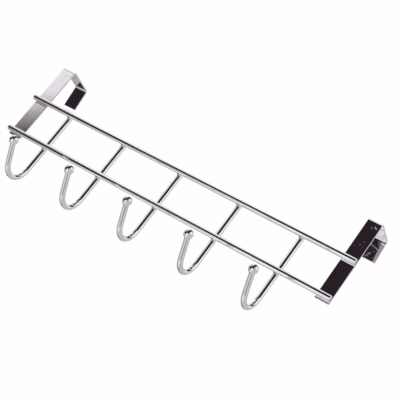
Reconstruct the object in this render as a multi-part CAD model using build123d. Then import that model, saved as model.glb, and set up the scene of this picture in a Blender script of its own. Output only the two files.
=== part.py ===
from build123d import *
import os
from math import cos, radians, sin, sqrt, tan

# Kitchen hook rail that hangs over the top edge of a door, in millimetres.
# X runs along the rails, +Y points back through the door and +Z is up.
# The origin is midway between the ends of the rails, at the inside corner of the hangers:
# the straps' backs lie in the plane Y = 0, and the top plates' undersides start at Z = 0.

# Round wire of the rails and of the hooks
rail_diameter = 4.5
hook_diameter = 4.5
wire_end_chamfer = 0.4

# Rails
rail_length = 305.0
rail_spacing = 33.5
lower_rail_drop = 69.0

# Depth to which each crossing wire is pressed into its neighbour when it is welded
weld_set = 0.3

# Hooks
hook_count = 5
hook_pitch = 55.5
hook_row_offset = -4.0
hook_top_overhang = 0.5
hook_straight_below_rail = 23.0
hook_bend_radius = 15.5
hook_bend_angle = 135.0
hook_arm_length = 18.5
ball_diameter = 7.5

# Strap of the hangers
strap_width = 12.0
strap_thickness = 1.2
strap_edge_radius = 0.3
strap_inside_bend = 1.4
strap_below_rail = 3.75
left_rail_overhang = 2.0
right_rail_overhang = -0.5

# Fold of the hangers over the door
top_plate_length = 28.5
top_plate_rise = 6.0
back_leg_length = 18.4
back_leg_splay = 12.0

# Worked out from the sizes above
rail_radius = rail_diameter / 2
hook_radius = hook_diameter / 2
ball_radius = ball_diameter / 2
lower_rail_z = -lower_rail_drop
upper_rail_z = lower_rail_z + rail_spacing
seat_y = -strap_thickness
rail_y = seat_y - rail_radius + weld_set
hook_y = seat_y + hook_radius - weld_set


def along(start, angle, length):
    """Point in the YZ plane reached from start. An angle of 0 points back and 90 points up."""
    return (start[0] + length * cos(radians(angle)), start[1] + length * sin(radians(angle)))


def side_path(points, bend_radius):
    """Path in the plane X = 0 through (Y, Z) points, with the same bend at every inner point."""
    return FilletPolyline(*[(0, y, z) for y, z in points], radius=bend_radius)


def make_strap():
    """Folded strip centred on X = 0, with rounded long edges and sheared ends."""
    half = strap_thickness / 2
    inner_corner = (0.0, 0.0)
    back_corner = along(inner_corner, top_plate_rise, top_plate_length)
    leg_angle = back_leg_splay - 90

    # The middle of the strip runs half a thickness outside the inner faces.
    # At each fold it meets the next face at a mitre.
    front_fold = (90 - top_plate_rise) / 2
    front_top = (-half, half * tan(radians(front_fold + top_plate_rise)))
    back_turn = top_plate_rise - leg_angle
    mitre_angle = top_plate_rise + 90 - back_turn / 2
    back_top = along(back_corner, mitre_angle, half / cos(radians(back_turn / 2)))
    leg_tip = along(back_corner, leg_angle, back_leg_length)
    back_foot = along(leg_tip, back_leg_splay, half)
    front_foot = (-half, lower_rail_z - strap_below_rail)

    path = side_path([front_foot, front_top, back_top, back_foot], strap_inside_bend + half)
    section_plane = Plane(origin=path @ 0, x_dir=(1, 0, 0), z_dir=path % 0)
    section = section_plane * RectangleRounded(strap_width, strap_thickness, strap_edge_radius)
    return sweep(section, path=path)


def make_rail(height, hangers):
    """Straight wire with chamfered ends and a flat where it was pressed on each strap."""
    rail = Pos(0, rail_y, height) * Rot(0, 90, 0) * Cylinder(rail_radius, rail_length)
    rail = chamfer(rail.edges().filter_by(GeomType.CIRCLE), wire_end_chamfer)
    for hanger in hangers:
        rail = rail - hanger
    return rail


def make_hook(centre_x, rails):
    """Wire that comes down behind both rails and turns forward into a J. Returns it and its ball."""
    top = (hook_y, upper_rail_z + rail_radius + hook_top_overhang)
    bend_start = (hook_y, lower_rail_z - hook_straight_below_rail)
    upright = Line(top, bend_start)
    bend = JernArc(bend_start, upright % 1, hook_bend_radius, -hook_bend_angle)

    # The end of the wire is welded to a flat on the ball, just as wide as the wire.
    flat_depth = sqrt(ball_radius ** 2 - hook_radius ** 2)
    arm = Line(bend @ 1, bend @ 1 + (bend % 1) * (hook_arm_length - flat_depth))
    path = Plane.YZ * Curve([upright, bend, arm])
    section = Plane(origin=path @ 0, z_dir=path % 0) * Circle(hook_radius)
    wire = sweep(section, path=path)
    top_edge = wire.edges().filter_by(GeomType.CIRCLE).group_by(Axis.Z)[-1]
    wire = Pos(centre_x, 0, 0) * chamfer(top_edge, wire_end_chamfer)
    for rail in rails:
        wire = wire - rail

    wire_end = path @ 1
    arm_direction = path % 1
    ball = Pos(wire_end + arm_direction * flat_depth) * Sphere(ball_radius)
    ball = split(ball, bisect_by=Plane(origin=wire_end, z_dir=arm_direction), keep=Keep.TOP)
    return wire, Pos(centre_x, 0, 0) * ball


strap = make_strap()
left_strap_x = -rail_length / 2 + left_rail_overhang + strap_width / 2
right_strap_x = rail_length / 2 - right_rail_overhang - strap_width / 2
nodes = {}
nodes["left_hanger"] = Pos(left_strap_x, 0, 0) * strap
nodes["right_hanger"] = Pos(right_strap_x, 0, 0) * strap

hangers = [nodes["left_hanger"], nodes["right_hanger"]]
nodes["lower_rail"] = make_rail(lower_rail_z, hangers)
nodes["upper_rail"] = make_rail(upper_rail_z, hangers)

rails = [nodes["lower_rail"], nodes["upper_rail"]]
for index in range(hook_count):
    hook_x = hook_row_offset + (index - (hook_count - 1) / 2) * hook_pitch
    wire, ball = make_hook(hook_x, rails)
    nodes[f"hook_wire_{index + 1}"] = wire
    nodes[f"ball_tip_{index + 1}"] = ball

os.makedirs("parts", exist_ok=True)
for name, shape in nodes.items():
    export_step(shape, f"parts/{name}.step")
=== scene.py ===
from math import atan2, cos, pi, radians, sin, sqrt, tan

import bmesh
import bpy
from mathutils import Matrix, Vector, noise


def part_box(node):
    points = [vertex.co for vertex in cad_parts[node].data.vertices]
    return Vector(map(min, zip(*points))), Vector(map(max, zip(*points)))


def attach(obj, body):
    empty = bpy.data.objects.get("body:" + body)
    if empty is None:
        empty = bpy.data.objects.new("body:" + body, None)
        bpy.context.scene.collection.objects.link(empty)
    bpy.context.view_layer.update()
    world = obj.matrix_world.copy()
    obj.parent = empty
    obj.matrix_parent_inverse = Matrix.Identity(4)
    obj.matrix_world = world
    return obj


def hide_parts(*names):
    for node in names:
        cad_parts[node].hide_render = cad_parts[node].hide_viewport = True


# Chromed over-door hook rail. Lengths are in metres and the frame is the CAD model's:
# X runs along the rails, +Y points back through the door and +Z is up.
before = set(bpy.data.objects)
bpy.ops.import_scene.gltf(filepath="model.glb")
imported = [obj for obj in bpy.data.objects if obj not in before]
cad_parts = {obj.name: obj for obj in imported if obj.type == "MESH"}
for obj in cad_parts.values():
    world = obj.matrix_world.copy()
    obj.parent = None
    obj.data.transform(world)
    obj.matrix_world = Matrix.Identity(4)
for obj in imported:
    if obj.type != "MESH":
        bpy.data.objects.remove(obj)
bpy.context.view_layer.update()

MM = 0.001
AXIS_X = Vector((1, 0, 0))
AXIS_Y = Vector((0, 1, 0))
AXIS_Z = Vector((0, 0, 1))
RIGHT_ANGLE = radians(90)

# Sizes that the boxes of the CAD nodes don't give
hook_bend_radius = 15.5 * MM
hook_bend_angle = radians(135)
hook_straight_below_rail = 23.0 * MM
hook_arm_length = 18.5 * MM
strap_thickness = 1.2 * MM
strap_edge_radius = 0.3 * MM
strap_inside_bend = 1.4 * MM
top_plate_length = 28.5 * MM
top_plate_rise = radians(6)
back_leg_length = 18.4 * MM
back_leg_splay = radians(12)
weld_set = 0.3 * MM

# Finish of the wire and the strip
wire_end_round = 0.4 * MM
sheared_edge = 0.22 * MM
ball_neck_fillet = 0.45 * MM
ball_pole_radius = 0.02 * MM

# Welds: half sizes of a nugget, and how far a strap's two nuggets are from its middle
wire_nugget = Vector((2.75, 1.05, 2.75)) * MM
strap_nugget = Vector((1.6, 0.35, 1.35)) * MM
strap_nugget_offset = 2.6 * MM
nugget_lumpiness = 0.10
fine_lump_share = 0.5
coarse_lump_scale, coarse_lump_seed = 1.3, 900
fine_lump_scale, fine_lump_seed = 3.1, 700

# Fineness of the meshes
wire_sides = 48
arc_step = radians(3)
corner_steps = 5
end_steps = 4
fillet_steps = 8
ball_steps = 40
nugget_subdivisions = 4


def box_middle(node):
    low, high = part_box(node)
    return (low + high) / 2


def box_size(node):
    low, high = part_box(node)
    return high - low


hanger_nodes = ("left_hanger", "right_hanger")
possible_hooks = range(1, len(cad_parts) + 1)
hook_numbers = [number for number in possible_hooks if f"hook_wire_{number}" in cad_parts]
hook_xs = [box_middle(f"hook_wire_{number}").x for number in hook_numbers]
wire_radius = box_size("upper_rail").z / 2
ball_radius = box_size("ball_tip_1").x / 2
rail_length = box_size("upper_rail").x
rail_y = -strap_thickness - wire_radius + weld_set
hook_y = -strap_thickness + wire_radius - weld_set
upper_rail_z = box_middle("upper_rail").z
lower_rail_z = box_middle("lower_rail").z


# Paths: each is a list of (point, direction, distance along it)

def rounded_path(corners, radius):
    """Straight runs through the corners, joined by arcs of one radius."""
    points = [(corners[0], (corners[1] - corners[0]).normalized())]
    for before, corner, after in zip(corners, corners[1:], corners[2:]):
        run_in = (corner - before).normalized()
        run_out = (after - corner).normalized()
        turn = run_in.angle(run_out)
        axis = run_in.cross(run_out).normalized()
        arc_start = corner - run_in * radius * tan(turn / 2)
        centre = arc_start + axis.cross(run_in) * radius
        steps = max(2, round(turn / arc_step))
        for step in range(steps + 1):
            swing = Matrix.Rotation(turn * step / steps, 3, axis)
            points.append((centre + swing @ (arc_start - centre), swing @ run_in))
    points.append((corners[-1], points[-1][1]))
    path = []
    distance = 0.0
    for index, (point, direction) in enumerate(points):
        if index:
            distance += (point - points[index - 1][0]).length
        path.append((point, direction, distance))
    return path


# Sections: each is a list of (across, out, normal across, normal out, distance round it)

def gap_between(first, second):
    return sqrt((first[0] - second[0]) ** 2 + (first[1] - second[1]) ** 2)


def with_distance(outline):
    section = []
    distance = 0.0
    for index, item in enumerate(outline):
        if index:
            distance += gap_between(item, outline[index - 1])
        section.append((*item, distance))
    return section


def round_section(radius):
    outline = []
    for index in range(wire_sides):
        angle = 2 * pi * index / wire_sides
        outline.append((radius * cos(angle), radius * sin(angle), cos(angle), sin(angle)))
    return with_distance(outline)


def strip_section(width, thickness, corner):
    """Rounded rectangle whose normals turn only in the corners, so that the flats reflect flat."""
    outline = []
    for quarter, (side, face) in enumerate(((1, 1), (-1, 1), (-1, -1), (1, -1))):
        for step in range(corner_steps + 1):
            angle = RIGHT_ANGLE * (quarter + step / corner_steps)
            normal = (cos(angle), sin(angle))
            outline.append((
                side * (width / 2 - corner) + corner * normal[0],
                face * (thickness / 2 - corner) + corner * normal[1], *normal))
    return with_distance(outline)


# Mesh makers

def ring_mesh(name, vertices, normals, count):
    """Closed mesh through rings of count vertices each, capped at both ends, with its faces outward."""
    faces = []
    top = len(vertices) - count
    for ring in range(0, top, count):
        for index in range(count):
            following = (index + 1) % count
            faces.append((ring + index, ring + following, ring + count + following, ring + count + index))
    faces.append(tuple(reversed(range(count))))
    faces.append(tuple(range(top, top + count)))
    mesh = bpy.data.meshes.new(name)
    mesh.from_pydata(vertices, [], faces)
    mesh.update()
    bm = bmesh.new()
    bm.from_mesh(mesh)
    volume = bm.calc_volume(signed=True)
    bm.free()
    if volume < 0:
        mesh.flip_normals()
    mesh.normals_split_custom_set_from_vertices(normals)
    return mesh


def lay_uv(mesh, section, distances):
    """UV map in metres, for the marks of drawing and rolling: u runs round the section, v along the path."""
    count = len(section)
    perimeter = section[-1][4] + gap_between(section[-1], section[0])
    uv = mesh.uv_layers.new(name="along")
    for face in mesh.polygons:
        places = [vertex % count for vertex in face.vertices]
        wraps = len(places) == 4 and max(places) - min(places) > 1
        for loop in face.loop_indices:
            ring, place = divmod(mesh.loops[loop].vertex_index, count)
            around = perimeter if wraps and place == 0 else section[place][4]
            uv.data[loop].uv = (around, distances[ring])


def finish_piece(name, mesh, replaced=None):
    piece = bpy.data.objects.new(name, mesh)
    bpy.context.scene.collection.objects.link(piece)
    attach(piece, "root")
    if replaced:
        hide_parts(replaced)
    return piece


def end_rings(end, end_round, inward):
    """Rings that round over one end of a path, from its tip. Inward is 1 at its start and -1 at its end."""
    point, direction, distance = end
    rings = []
    for step in range(end_steps + 1):
        lean = RIGHT_ANGLE * (1 - step / end_steps)
        shift = inward * end_round * (1 - sin(lean))
        inset = end_round * (1 - cos(lean))
        rings.append((point + direction * shift, direction, distance + shift, inset, -inward * lean))
    return rings


def sweep(name, path, side, section, end_round, replaced):
    """Solid of one section carried along a path, with both ends rounded over."""
    rings = end_rings(path[0], end_round, 1)
    rings += [(*place, 0.0, 0.0) for place in path[1:-1]]
    rings += reversed(end_rings(path[-1], end_round, -1))
    vertices, normals = [], []
    for point, direction, _, inset, lean in rings:
        out = side.cross(direction)
        for across, away, normal_across, normal_out, _ in section:
            normal = side * normal_across + out * normal_out
            vertices.append(point + side * across + out * away - normal * inset)
            normals.append(normal * cos(lean) + direction * sin(lean))
    mesh = ring_mesh(name, vertices, normals, len(section))
    lay_uv(mesh, section, [ring[2] for ring in rings])
    return finish_piece(name, mesh, replaced)


def turned(name, origin, axis, profile, replaced):
    """Solid of revolution. The profile is a list of (along, radius, normal along, normal out)."""
    side = AXIS_X
    out = axis.cross(side)
    vertices, normals = [], []
    for along, radius, normal_along, normal_out in profile:
        for index in range(wire_sides):
            angle = 2 * pi * index / wire_sides
            radial = side * cos(angle) + out * sin(angle)
            vertices.append(origin + axis * along + radial * radius)
            normals.append((radial * normal_out + axis * normal_along).normalized())
    return finish_piece(name, ring_mesh(name, vertices, normals, wire_sides), replaced)


def weld_nugget(name, centre, half_sizes):
    """Lumpy drop of fused metal, squeezed out round a resistance weld."""
    bm = bmesh.new()
    bmesh.ops.create_icosphere(bm, subdivisions=nugget_subdivisions, radius=1.0)
    for vertex in bm.verts:
        coarse = noise.noise(vertex.co * coarse_lump_scale + centre * coarse_lump_seed)
        fine = noise.noise(vertex.co * fine_lump_scale + centre * fine_lump_seed)
        place = vertex.co * (1 + nugget_lumpiness * (coarse + fine_lump_share * fine))
        vertex.co = centre + place * half_sizes
    mesh = bpy.data.meshes.new(name)
    bm.to_mesh(mesh)
    bm.free()
    mesh.shade_smooth()
    return finish_piece(name, mesh)


# Pieces

def make_hanger(node):
    centre_x = box_middle(node).x
    half = strap_thickness / 2

    def in_side_view(start, angle, length):
        return start + Vector((0, cos(angle), sin(angle))) * length

    # The path runs along the middle of the strip, half a thickness outside the inner faces.
    inner_corner = Vector((centre_x, 0, 0))
    back_corner = in_side_view(inner_corner, top_plate_rise, top_plate_length)
    leg_angle = back_leg_splay - RIGHT_ANGLE
    front_fold = (RIGHT_ANGLE - top_plate_rise) / 2
    front_top = Vector((centre_x, -half, half * tan(front_fold + top_plate_rise)))
    back_turn = top_plate_rise - leg_angle
    mitre = top_plate_rise + RIGHT_ANGLE - back_turn / 2
    back_top = in_side_view(back_corner, mitre, half / cos(back_turn / 2))
    leg_tip = in_side_view(back_corner, leg_angle, back_leg_length)
    back_foot = in_side_view(leg_tip, back_leg_splay, half)
    front_foot = Vector((centre_x, -half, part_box(node)[0].z))
    path = rounded_path([front_foot, front_top, back_top, back_foot], strap_inside_bend + half)
    section = strip_section(box_size(node).x, strap_thickness, strap_edge_radius)
    return sweep(f"{node}_strip", path, AXIS_X, section, sheared_edge, node)


def make_rail(node):
    middle = box_middle(node)
    start, end = [Vector((middle.x + side * rail_length / 2, rail_y, middle.z)) for side in (-1, 1)]
    path = [(start, AXIS_X, 0.0), (end, AXIS_X, rail_length)]
    section = round_section(wire_radius)
    return sweep(f"{node}_wire", path, AXIS_Y, section, wire_end_round, node)


def ball_profile():
    """A small fillet of weld where the wire meets the ball, then the sphere."""
    fillet = ball_neck_fillet
    fillet_out = wire_radius + fillet
    fillet_along = -sqrt((ball_radius + fillet) ** 2 - fillet_out ** 2)
    touch = atan2(fillet_out, -fillet_along)
    profile = []
    for step in range(fillet_steps + 1):
        angle = (RIGHT_ANGLE - touch) * step / fillet_steps
        profile.append((
            fillet_along + fillet * sin(angle), fillet_out - fillet * cos(angle), -sin(angle), cos(angle)))
    for step in range(1, ball_steps):
        angle = (pi - touch) * (1 - step / ball_steps)
        profile.append((ball_radius * cos(angle), ball_radius * sin(angle), cos(angle), sin(angle)))
    profile.append((ball_radius, ball_pole_radius, 1.0, 0.0))
    return profile


def make_hook(number, x):
    """Wire that comes down behind both rails and turns forward into a J, and its ball."""
    node = f"hook_wire_{number}"
    top = Vector((x, hook_y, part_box(node)[1].z))
    reach = hook_bend_radius * tan(hook_bend_angle / 2)
    corner = Vector((x, hook_y, lower_rail_z - hook_straight_below_rail - reach))
    arm_direction = Vector((0, -sin(hook_bend_angle), -cos(hook_bend_angle)))
    neck = sqrt(ball_radius ** 2 - wire_radius ** 2)
    wire_end = corner + arm_direction * (reach + hook_arm_length - neck)
    # The last fraction of a millimetre is inside the ball's neck.
    path = rounded_path([top, corner, wire_end + arm_direction * wire_end_round], hook_bend_radius)
    section = round_section(wire_radius)
    wire = sweep(f"hook_{number}_wire", path, AXIS_X, section, wire_end_round, node)
    centre = wire_end + arm_direction * neck
    ball = turned(
        f"hook_{number}_ball", centre, arm_direction, ball_profile(), f"ball_tip_{number}")
    return wire, ball


hangers = [make_hanger(node) for node in hanger_nodes]
rails = [make_rail(node) for node in ("upper_rail", "lower_rail")]
hooks = [make_hook(number, x) for number, x in zip(hook_numbers, hook_xs)]

welds = []
for rail_name, rail_z in (("upper", upper_rail_z), ("lower", lower_rail_z)):
    for number, x in zip(hook_numbers, hook_xs):
        place = Vector((x, -strap_thickness, rail_z))
        welds.append(weld_nugget(f"weld_{rail_name}_hook_{number}", place, wire_nugget))
    for node in hanger_nodes:
        for side in (-1, 1):
            place = Vector((box_middle(node).x + side * strap_nugget_offset, -strap_thickness, rail_z))
            label = "inner" if side * place.x < 0 else "outer"
            welds.append(weld_nugget(f"weld_{rail_name}_{node}_{label}", place, strap_nugget))


# Shader nodes

def new_node(tree, kind, inputs, **settings):
    """Adds a node. Each of its inputs, by name or number, is fed by a socket or holds a value."""
    node = tree.nodes.new(kind)
    for setting, value in settings.items():
        setattr(node, setting, value)
    for name, value in inputs.items():
        if isinstance(value, bpy.types.NodeSocket):
            tree.links.new(value, node.inputs[name])
        else:
            node.inputs[name].default_value = value
    return node


def math_of(tree, operation, first, second):
    return new_node(tree, "ShaderNodeMath", {0: first, 1: second}, operation=operation).outputs["Value"]


def vector_math(tree, operation, *vectors):
    return new_node(tree, "ShaderNodeVectorMath", dict(enumerate(vectors)), operation=operation).outputs


def ranged(tree, value, low, high, to_low=0.0, to_high=1.0, blend="LINEAR"):
    node = new_node(tree, "ShaderNodeMapRange", {
        "Value": value, "From Min": low, "From Max": high, "To Min": to_low, "To Max": to_high,
    }, interpolation_type=blend)
    return node.outputs["Result"]


def mixed(tree, factor, first, second):
    """Mix of two colours, each of them a socket or (red, green, blue)."""
    first, second = [(*colour, 1) if isinstance(colour, tuple) else colour for colour in (first, second)]
    node = new_node(tree, "ShaderNodeMix", {"Factor": factor, "A": first, "B": second}, data_type="RGBA")
    return node.outputs["Result"]


def noise_of(tree, place, scale, detail=2.0, roughness=0.5, stretch=(1, 1, 1)):
    """Noise over a place whose axes are stretched first."""
    mapping = new_node(tree, "ShaderNodeMapping", {"Vector": place, "Scale": stretch})
    texture = new_node(tree, "ShaderNodeTexNoise", {
        "Vector": mapping.outputs["Vector"], "Scale": scale, "Detail": detail, "Roughness": roughness})
    return texture.outputs["Fac"]


def bump(tree, height, depth, **under):
    """Normal raised by a height. Under it there may be another normal, given as Normal."""
    return new_node(tree, "ShaderNodeBump", {"Height": height, "Distance": depth, **under}).outputs["Normal"]


def new_material(name, surface):
    """Material whose surface is the shader socket that surface(tree) returns."""
    material = bpy.data.materials.new(name)
    material.use_nodes = True
    tree = material.node_tree
    tree.nodes.clear()
    new_node(tree, "ShaderNodeOutputMaterial", {"Surface": surface(tree)})
    return material


# Materials

# Scales of the noises, in cells per metre. The marks' own scale comes with each material.
cloud_scale = 70.0
blot_scale = 210.0
speck_scale = 320.0
smear_edge_scale = 900.0
grain_scale = 2600.0
mark_stretch = (1.0, 0.03, 1.0)
speck_roughness = 0.06

# Span of each noise over which its effect grows from nothing to full
cloud_span = (0.42, 0.72)
smudge_span = (0.35, 0.75)
speck_span = (0.66, 0.78)
blot_span = (0.68, 0.78)

# Dried smears on the straps, as the photograph shows them: start, end, radius (millimetres), strength
strap_smears = [
    ((149.2, -1.2, -4.4), (150.6, -1.2, -5.0), 0.85, 0.9),
    ((146.8, -1.2, -5.2), (147.2, -1.2, -6.2), 0.7, 0.4),
    ((148.7, -1.2, -18.1), (148.7, -1.2, -18.1), 0.6, 0.3),
    ((147.2, -1.2, -21.0), (147.0, -1.2, -22.4), 0.5, 0.25),
    ((143.0, 29.7, -3.5), (146.6, 29.9, -4.3), 0.75, 1.0),
    ((146.6, 29.9, -4.3), (152.0, 30.2, -6.4), 0.75, 1.0),
    ((148.6, 29.0, 0.2), (150.6, 29.4, -2.6), 1.9, 0.45),
    ((144.6, 31.4, -11.4), (145.8, 31.0, -9.8), 1.0, 0.75),
    ((143.9, 31.6, -13.2), (144.8, 31.5, -12.0), 1.3, 0.35),
    ((149.2, 31.7, -12.8), (149.6, 31.7, -12.8), 0.7, 0.3),
    ((-144.0, -1.2, -5.6), (-142.9, -1.2, -5.4), 1.2, 0.6),
    ((-140.4, -1.2, -4.9), (-139.7, -1.2, -4.9), 1.1, 0.5),
    ((-143.2, -1.2, -28.6), (-142.2, -1.2, -28.3), 0.9, 0.6),
    ((-139.2, -1.2, -28.1), (-138.2, -1.2, -28.1), 0.8, 0.4),
]

# How far a smear's sides wander, the share of its radius that is at full strength, its colour, and how
# much of the metal's mirror its film takes away
smear_raggedness = 1.2 * MM
smear_core = 0.4
smear_colour = (0.50, 0.47, 0.48)
smear_film = 0.45


def smeared(tree, place, smears):
    """Mask that rises to a smear's strength along it, with ragged sides."""
    ragged = new_node(tree, "ShaderNodeTexNoise", {"Vector": place, "Scale": smear_edge_scale, "Detail": 2.0})
    centred = vector_math(tree, "SUBTRACT", ragged.outputs["Color"], (0.5, 0.5, 0.5))["Vector"]
    shifted = vector_math(tree, "MULTIPLY_ADD", centred, [smear_raggedness] * 3, place)["Vector"]
    mask = None
    for start, end, radius, strength in smears:
        start, end, radius = Vector(start) * MM, Vector(end) * MM, radius * MM
        spots = 1 + round((end - start).length / radius)
        for index in range(spots):
            spot = start.lerp(end, index / max(1, spots - 1))
            away = vector_math(tree, "DISTANCE", shifted, spot)["Value"]
            inside = ranged(tree, away, smear_core * radius, radius, strength, 0.0)
            mask = inside if mask is None else math_of(tree, "MAXIMUM", mask, inside)
    return mask


def chrome(
        name, bright, dull, roughness, smudge, film, marks, mark_depth, grain_depth,
        along_uv=True, smears=()):
    """Plated steel: marks of drawing or rolling along the piece, a fine grain, smudges and dried drops.

    Dull is the colour in the smudges, film the share of the mirror that a drop takes away and marks the
    scale of the marks. Without along_uv the marks have no direction.
    """
    def surface(tree):
        coordinates = tree.nodes.new("ShaderNodeTexCoord").outputs
        place = coordinates["Object"]
        clouds = noise_of(tree, place, cloud_scale, 4.0, 0.6)
        specks = noise_of(tree, place, speck_scale)
        blots = noise_of(tree, place, blot_scale, 3.0, 0.6)
        grain = noise_of(tree, place, grain_scale)
        if along_uv:
            streaks = noise_of(tree, coordinates["UV"], marks, 3.0, 0.6, mark_stretch)
        else:
            streaks = noise_of(tree, place, marks, 3.0, 0.6)

        colour = mixed(tree, ranged(tree, clouds, *cloud_span), bright, dull)
        smudges = ranged(tree, clouds, *smudge_span, roughness, roughness + smudge)
        specked = ranged(tree, specks, *speck_span, 0.0, speck_roughness)
        # Dried drops and smears leave a thin dull film on the plating.
        metal = ranged(tree, blots, *blot_span, 1.0, 1.0 - film)
        if smears:
            mask = smeared(tree, place, smears)
            colour = mixed(tree, mask, colour, smear_colour)
            metal = math_of(tree, "MULTIPLY", metal, ranged(tree, mask, 0.0, 1.0, 1.0, 1.0 - smear_film))
        shader = new_node(tree, "ShaderNodeBsdfPrincipled", {
            "Base Color": colour,
            "Metallic": metal,
            "Roughness": math_of(tree, "ADD", smudges, specked),
            "Normal": bump(tree, streaks, mark_depth, Normal=bump(tree, grain, grain_depth))})
        return shader.outputs["BSDF"]

    return new_material(name, surface)


wire_chrome = chrome(
    "drawn_wire_chrome", bright=(0.91, 0.905, 0.91), dull=(0.82, 0.815, 0.83), roughness=0.035, smudge=0.06,
    film=0.10, marks=1800.0, mark_depth=0.004 * MM, grain_depth=0.0003 * MM)
strap_chrome = chrome(
    "rolled_strip_chrome", bright=(0.90, 0.89, 0.90), dull=(0.76, 0.74, 0.76), roughness=0.015, smudge=0.05,
    film=0.22, marks=1400.0, mark_depth=0.006 * MM, grain_depth=0.0002 * MM, smears=strap_smears)
ball_chrome = chrome(
    "ball_chrome", bright=(0.92, 0.915, 0.92), dull=(0.86, 0.855, 0.865), roughness=0.03, smudge=0.05,
    film=0.05, marks=500.0, mark_depth=0.004 * MM, grain_depth=0.0006 * MM, along_uv=False)
weld_chrome = chrome(
    "weld_chrome", bright=(0.70, 0.69, 0.70), dull=(0.55, 0.53, 0.54), roughness=0.16, smudge=0.20,
    film=0.15, marks=600.0, mark_depth=0.03 * MM, grain_depth=0.004 * MM, along_uv=False)

wires, balls = zip(*hooks)
for pieces, material in (
        (hangers, strap_chrome), (rails, wire_chrome), (wires, wire_chrome), (balls, ball_chrome),
        (welds, weld_chrome)):
    for piece in pieces:
        piece.data.materials.append(material)


# Camera at the photograph's viewing angle
camera_place = Vector((0.41134, -0.76571, -0.35422))
view_right = Vector((0.80196, 0.17856, 0.57012))
view_up = Vector((-0.4187, -0.5127, 0.7496))
view_forward = view_up.cross(view_right).normalized()
camera_data = bpy.data.cameras.new("camera")
camera_data.sensor_width = 36.0
camera_data.lens = 109.26
camera_data.clip_start = 0.01
camera = bpy.data.objects.new("camera", camera_data)
bpy.context.scene.collection.objects.link(camera)
turn = Matrix((view_right, view_up, -view_forward)).transposed()
camera.matrix_world = Matrix.Translation(camera_place) @ turn.to_4x4()
bpy.context.scene.camera = camera


# Studio. Chrome shows the room, so the room is laid out by direction: white walls with grey panels at
# the sides, a grey table below, and the dark ceiling and arms that give the wires their lines.
# Azimuth 0 is towards the camera, 90 is to its right, and elevation 90 is the way the ceiling lies.
studio_up = Vector((0, -0.935, 0.353)).normalized()
studio_front = Vector((0.572, -0.290, -0.767))
studio_front = (studio_front - studio_up * studio_front.dot(studio_up)).normalized()
studio_right = studio_up.cross(studio_front)
if studio_right.dot(view_right) < 0:
    studio_right = -studio_right


def studio_direction(azimuth, elevation):
    a, e = radians(azimuth), radians(elevation)
    level = studio_front * cos(a) + studio_right * sin(a)
    return level * cos(e) + studio_up * sin(e)


# Each patch of the room: direction of its middle, direction that its long axis leans to, half length and
# half width in degrees, softness as a share of them, and colour. Later patches cover earlier ones.
room = {
    "table_below": (studio_direction(40, -70), AXIS_X, 56, 56, 0.20, (0.56, 0.55, 0.57)),
    "table_glare": ((-0.43, -0.04, -0.90), AXIS_X, 13, 27, 0.35, (0.97, 0.96, 0.97)),
    "table_edge": ((-0.42, 0.70, -0.58), AXIS_X, 17, 8, 0.25, (0.13, 0.12, 0.13)),
    "door_behind": ((-0.36, 0.90, -0.24), AXIS_X, 9, 12, 0.20, (0.10, 0.09, 0.10)),
    "behind_strap": ((-0.29, 0.955, 0.03), AXIS_X, 9, 6, 0.30, (0.42, 0.37, 0.41)),
    "left_grey": ((-0.72, -0.08, -0.69), AXIS_Y, 40, 14, 0.30, (0.46, 0.44, 0.46)),
    "right_wall": ((0.995, 0.0, 0.0), AXIS_Y, 24, 13, 0.30, (0.40, 0.39, 0.41)),
    "left_wall": ((-0.96, 0.16, -0.20), AXIS_Z, 22, 15, 0.30, (0.40, 0.39, 0.41)),
    "right_front": ((0.80, -0.56, -0.24), AXIS_Z, 25, 15, 0.25, (0.42, 0.41, 0.43)),
    "left_back": ((-0.70, 0.64, -0.30), AXIS_Z, 24, 14, 0.25, (0.22, 0.21, 0.23)),
    "front_wall": (studio_direction(-6, -5), AXIS_X, 46, 14, 0.40, (0.56, 0.56, 0.58)),
    "front_core": (studio_direction(-4, 0), AXIS_X, 14, 10, 0.40, (0.28, 0.28, 0.30)),
    "left_haze": ((-0.555, -0.765, 0.335), AXIS_X, 10, 6, 0.40, (0.90, 0.87, 0.90)),
    "left_arm": ((-0.327, -0.943, 0.057), (0.76, -0.23, 0.61), 45, 21.9, 0.06, (0.026, 0.015, 0.022)),
    "left_low": ((-0.63, -0.66, -0.41), AXIS_Z, 28, 8, 0.25, (0.040, 0.030, 0.038)),
    "ceiling_left": ((-0.33, -0.81, 0.486), (0, 0.515, 0.857), 14, 9, 0.15, (0.022, 0.015, 0.020)),
    "ceiling": ((0.05, -0.68, 0.73), (-0.05, 0.75, 0.66), 27, 25, 0.07, (0.022, 0.015, 0.020)),
    "ceiling_bar": ((0.27, -0.872, 0.405), AXIS_X, 37, 10, 0.12, (0.024, 0.016, 0.022)),
    "front_stem": ((0.311, -0.943, -0.116), (-0.22, -0.19, 0.96), 30, 12, 0.15, (0.030, 0.022, 0.028)),
    "ceiling_gap": ((-0.335, -0.35, 0.875), (0, 0.93, 0.37), 15, 6.5, 0.20, (1.0, 0.99, 1.0)),
    "left_ceiling": ((-0.70, -0.44, 0.56), AXIS_Y, 18, 9.5, 0.15, (0.022, 0.015, 0.020)),
    "left_band": ((-0.87, -0.46, 0.175), (-0.46, 0.87, 0), 22, 6.2, 0.12, (0.022, 0.015, 0.020)),
    "back_right": ((0.06, -0.05, 0.99), AXIS_Y, 38, 20, 0.15, (0.03, 0.025, 0.03)),
    "right_side": ((0.35, 0.42, 0.84), AXIS_X, 26, 11, 0.2, (0.03, 0.025, 0.03)),
    "back_left": ((-0.90, -0.38, -0.16), AXIS_Z, 28, 14, 0.15, (0.03, 0.025, 0.03)),
}
wall_colour = (1.0, 0.99, 1.0)
light_colour = (0.80, 0.80, 0.81)
backdrop_colour = (1.0, 0.985, 1.0)

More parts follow.
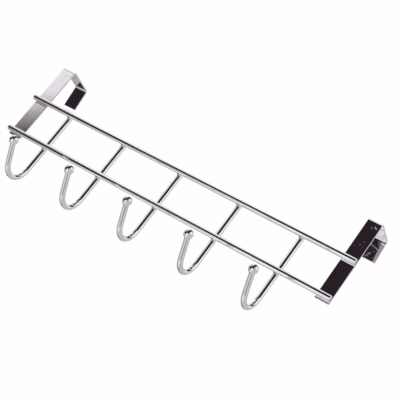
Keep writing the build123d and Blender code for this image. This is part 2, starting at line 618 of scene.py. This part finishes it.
world = bpy.data.worlds.new("studio")
bpy.context.scene.world = world
world.use_nodes = True
world_tree = world.node_tree
world_tree.nodes.clear()
ray_direction = world_tree.nodes.new("ShaderNodeTexCoord").outputs["Generated"]


def along_axis(axis, half_angle):
    """How far a ray leans along an axis, where the edge of the patch is 1."""
    return vector_math(world_tree, "DOT_PRODUCT", ray_direction, axis / sin(radians(half_angle)))["Value"]


def soft_patch(middle, long_axis, half_length, half_width, softness):
    """1 inside an oval patch of the sphere of directions and 0 outside it."""
    middle, long_axis = Vector(middle).normalized(), Vector(long_axis)
    long_axis = (long_axis - middle * long_axis.dot(middle)).normalized()
    along = along_axis(long_axis, half_length)
    across = along_axis(middle.cross(long_axis), half_width)
    squares = [math_of(world_tree, "MULTIPLY", lean, lean) for lean in (along, across)]
    reach = math_of(world_tree, "ADD", *squares)
    inside = ranged(world_tree, reach, (1 + softness) ** 2, (1 - softness) ** 2, blend="SMOOTHSTEP")
    facing = vector_math(world_tree, "DOT_PRODUCT", ray_direction, middle)["Value"]
    return math_of(world_tree, "MULTIPLY", inside, math_of(world_tree, "GREATER_THAN", facing, 0.0))


seen_by_metal = wall_colour
for *outline, colour in room.values():
    seen_by_metal = mixed(world_tree, soft_patch(*outline), seen_by_metal, colour)

# Only glossy rays see the room. The camera sees the backdrop and all other rays a plain light.
rays = world_tree.nodes.new("ShaderNodeLightPath").outputs
plain = mixed(world_tree, rays["Is Camera Ray"], light_colour, backdrop_colour)
background = new_node(world_tree, "ShaderNodeBackground", {
    "Color": mixed(world_tree, rays["Is Glossy Ray"], plain, seen_by_metal)})
new_node(world_tree, "ShaderNodeOutputWorld", {"Surface": background.outputs["Background"]})


# Pale floor below the camera, which fades into the background and is clear from below.
# The metal shows the room's own table there instead.
floor_height = -0.45
floor_radius = 12.0
floor_sides = 96
floor_fade_start = 0.55
floor_fade_end = 1.3
floor_colour = (0.93, 0.925, 0.935, 1)
floor_glow = (1.0, 0.992, 1.0, 1)


def floor_surface(tree):
    def blended(factor, first, second):
        return new_node(tree, "ShaderNodeMixShader", {0: factor, 1: first, 2: second}).outputs["Shader"]

    place = tree.nodes.new("ShaderNodeTexCoord").outputs["Object"]
    distance = vector_math(tree, "LENGTH", place)["Value"]
    fade = ranged(tree, distance, floor_fade_start, floor_fade_end, blend="SMOOTHSTEP")
    diffuse = new_node(tree, "ShaderNodeBsdfDiffuse", {"Color": floor_colour}).outputs["BSDF"]
    glow = new_node(tree, "ShaderNodeEmission", {"Color": floor_glow}).outputs["Emission"]
    clear = tree.nodes.new("ShaderNodeBsdfTransparent").outputs["BSDF"]
    from_below = tree.nodes.new("ShaderNodeNewGeometry").outputs["Backfacing"]
    by_metal = tree.nodes.new("ShaderNodeLightPath").outputs["Is Glossy Ray"]
    unseen = math_of(tree, "MAXIMUM", from_below, by_metal)
    return blended(unseen, blended(fade, diffuse, glow), clear)


floor_mesh = bpy.data.meshes.new("floor")
bm = bmesh.new()
bmesh.ops.create_circle(bm, cap_ends=True, radius=floor_radius, segments=floor_sides)
for vertex in bm.verts:
    vertex.co.z = floor_height
bm.to_mesh(floor_mesh)
bm.free()
floor = bpy.data.objects.new("floor", floor_mesh)
bpy.context.scene.collection.objects.link(floor)
floor.data.materials.append(new_material("pale_floor", floor_surface))

# One wide soft lamp overhead gives the floor its shadow. The metal shows the room and not the lamp.
lamp_data = bpy.data.lights.new("overhead", "AREA")
lamp_data.shape = "DISK"
lamp_data.size = 1.2
lamp_data.energy = 9.0
lamp = bpy.data.objects.new("overhead", lamp_data)
lamp.location = (0.3, -0.5, 1.1)
lamp.rotation_euler = (-lamp.location).to_track_quat("-Z", "Y").to_euler()
lamp.visible_glossy = False
bpy.context.scene.collection.objects.link(lamp)

bpy.context.scene.view_settings.view_transform = "Standard"
